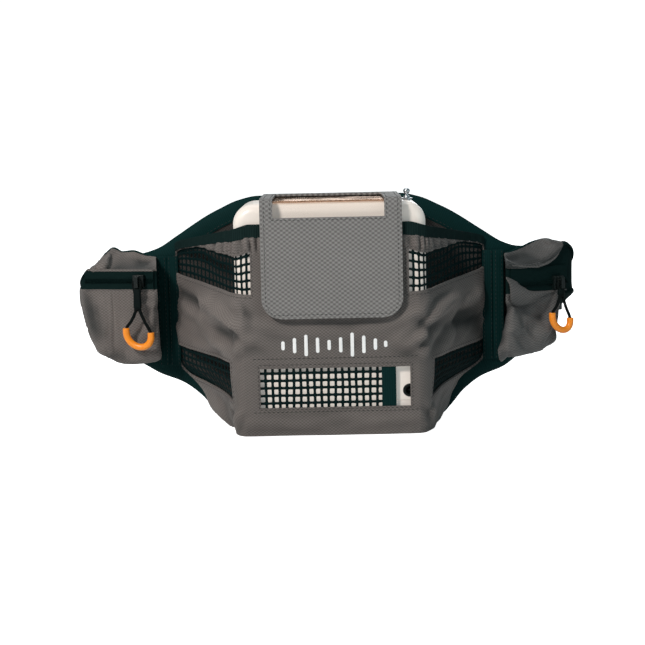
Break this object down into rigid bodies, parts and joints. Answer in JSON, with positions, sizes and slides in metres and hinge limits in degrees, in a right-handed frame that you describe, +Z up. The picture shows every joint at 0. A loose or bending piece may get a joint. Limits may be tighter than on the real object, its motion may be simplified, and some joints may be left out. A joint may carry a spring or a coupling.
{
  "type": "portable oxygen concentrator in hip bag",
  "caption": "Portable oxygen concentrator carried in a grey waist bag with net windows, a top flap, zipped side pouches and a buckled belt.",
  "frame": {"origin": "centre of the bag's flat base under the concentrator", "axes": "+Z up, front of the bag towards -Y, wearer towards +Y inside the belt loop, +X to the right seen from the front"},
  "size_m": [0.4126, 0.2855, 0.1916],
  "materials": {
    "grey_fabric": "diagonal dobby weave polyester",
    "black_binding": "black binding tape and ribbed elastic",
    "black_net": "open hexagonal net",
    "black_webbing": "woven polypropylene belt webbing",
    "padded_lining": "padded back panel cover",
    "hook_tape": "hook tape",
    "black_cord": "braided cord",
    "clear_vinyl": "clear soft vinyl",
    "orange_tube": "soft orange tube",
    "black_plastic": "moulded black acetal",
    "cream_plastic": "moulded cream case",
    "silver_plastic": "silver painted panel",
    "display_glass": "smoked display window",
    "steel": "turned and polished",
    "aluminium": "cast and machined",
    "circuit_board": "green solder mask",
    "mount_rubber": "soft isolating rubber",
    "silicone": "translucent silicone hose",
    "filter_foam": "open-cell filter foam",
    "cell_wrap": "shrink-wrapped cells"
  },
  "bodies": {
    "bag": {"front_fabric": "grey_fabric", "mouth_hem": "black_binding", "net_front": "black_net", "net_side_left": "black_net", "net_side_right": "black_net", "base_panel": "grey_fabric", "back_panel": "padded_lining", "seam_tape_left": "black_binding", "seam_tape_right": "black_binding", "pouch_left": "grey_fabric", "pouch_right": "grey_fabric", "zipper_left": "black_binding", "zipper_right": "black_binding", "belt_webbing_left": "black_webbing", "belt_webbing_right": "black_webbing", "buckle_female": "black_plastic", "case_front": "cream_plastic", "case_rear": "cream_plastic", "control_panel": "silver_plastic", "display_window": "display_glass", "control_board": "circuit_board", "main_board": "circuit_board", "cannula_nozzle": "steel", "power_socket": "black_plastic", "compressor_crankcase": "aluminium", "motor_housing": "black_plastic", "cylinder_left": "aluminium", "cylinder_right": "aluminium", "piston_left": "aluminium", "piston_right": "aluminium", "rubber_mounts": "mount_rubber", "sieve_column_lower": "aluminium", "sieve_column_upper": "aluminium", "valve_manifold": "black_plastic", "product_tank": "silicone", "fan_frame": "black_plastic", "intake_filter": "filter_foam", "feed_hose": "silicone", "product_hose": "silicone", "battery_case": "cream_plastic", "battery_lid": "black_plastic", "cell_pack": "cell_wrap"},
    "flap_top": {"flap_top": "grey_fabric", "flap_window": "clear_vinyl"},
    "flap_front": {"flap_front": "grey_fabric", "hook_tape": "hook_tape"},
    "zip_slider_left": {"zip_slider_left": "black_plastic"},
    "zip_slider_right": {"zip_slider_right": "black_plastic"},
    "pull_left": {"pull_cord_left": "black_cord", "pull_grip_left": "orange_tube"},
    "pull_right": {"pull_cord_right": "black_cord", "pull_grip_right": "orange_tube"},
    "buckle_male": {"buckle_male": "black_plastic"},
    "strap_keeper": {"strap_keeper": "black_plastic"},
    "power_button": {"power_button": "silver_plastic"},
    "flow_minus_button": {"flow_minus_button": "black_plastic"},
    "flow_plus_button": {"flow_plus_button": "black_plastic"},
    "battery_latch": {"battery_latch": "black_plastic"},
    "fan_rotor": {"fan_rotor": "black_plastic"},
    "compressor_rotor": {"compressor_rotor": "steel"}
  },
  "joints": [
    {"name": "flap_open", "type": "hinge", "parent": "bag", "child": "flap_top", "pos_m": [0, 0.0455, 0.1854], "axis": [-1, 0, 0], "range_deg": [0, 110]},
    {"name": "flap_fold", "type": "hinge", "parent": "flap_top", "child": "flap_front", "pos_m": [0, -0.0438, 0.1791], "axis": [-1, 0, 0], "range_deg": [0, 80]},
    {"name": "zip_left_slide", "type": "slide", "parent": "bag", "child": "zip_slider_left", "axis": [-0.9781, 0.2079, 0], "range_m": [0, 0.04]},
    {"name": "zip_right_slide", "type": "slide", "parent": "bag", "child": "zip_slider_right", "axis": [-0.8829, -0.4695, 0], "range_m": [0, 0.022]},
    {"name": "pull_left_swing", "type": "hinge", "parent": "zip_slider_left", "child": "pull_left", "pos_m": [-0.15496, -0.00106, 0.12], "axis": [-0.9781, 0.2079, 0], "range_deg": [0, 100]},
    {"name": "pull_right_swing", "type": "hinge", "parent": "zip_slider_right", "child": "pull_right", "pos_m": [0.18859, 0.02347, 0.11], "axis": [-0.8829, -0.4695, 0], "range_deg": [0, 100]},
    {"name": "buckle_release", "type": "slide", "parent": "bag", "child": "buckle_male", "axis": [-1, 0, 0], "range_m": [0, 0.026], "deforming": ["belt_webbing_left"]},
    {"name": "strap_keeper_slide", "type": "slide", "parent": "bag", "child": "strap_keeper", "axis": [1, 0, 0], "range_m": [0, 0.014]},
    {"name": "power_button_press", "type": "slide", "parent": "bag", "child": "power_button", "axis": [0, 0, -1], "range_m": [0, 0.001], "stiffness_N_per_m": 600},
    {"name": "flow_minus_press", "type": "slide", "parent": "bag", "child": "flow_minus_button", "axis": [0, 0, -1], "range_m": [0, 0.001], "stiffness_N_per_m": 600},
    {"name": "flow_plus_press", "type": "slide", "parent": "bag", "child": "flow_plus_button", "axis": [0, 0, -1], "range_m": [0, 0.001], "stiffness_N_per_m": 600},
    {"name": "battery_latch_slide", "type": "slide", "parent": "bag", "child": "battery_latch", "axis": [0, 0, 1], "range_m": [0, 0.004]},
    {"name": "fan_spin", "type": "hinge", "parent": "bag", "child": "fan_rotor", "pos_m": [-0.06575, -0.002, 0.146], "axis": [1, 0, 0], "continuous": true},
    {"name": "compressor_spin", "type": "hinge", "parent": "bag", "child": "compressor_rotor", "pos_m": [0, 0.014, 0.064], "axis": [0, 1, 0], "continuous": true}
  ],
  "couplings": [
    {"joint": "flap_fold", "follows": "flap_open", "ratio": 0.65}
  ]
}
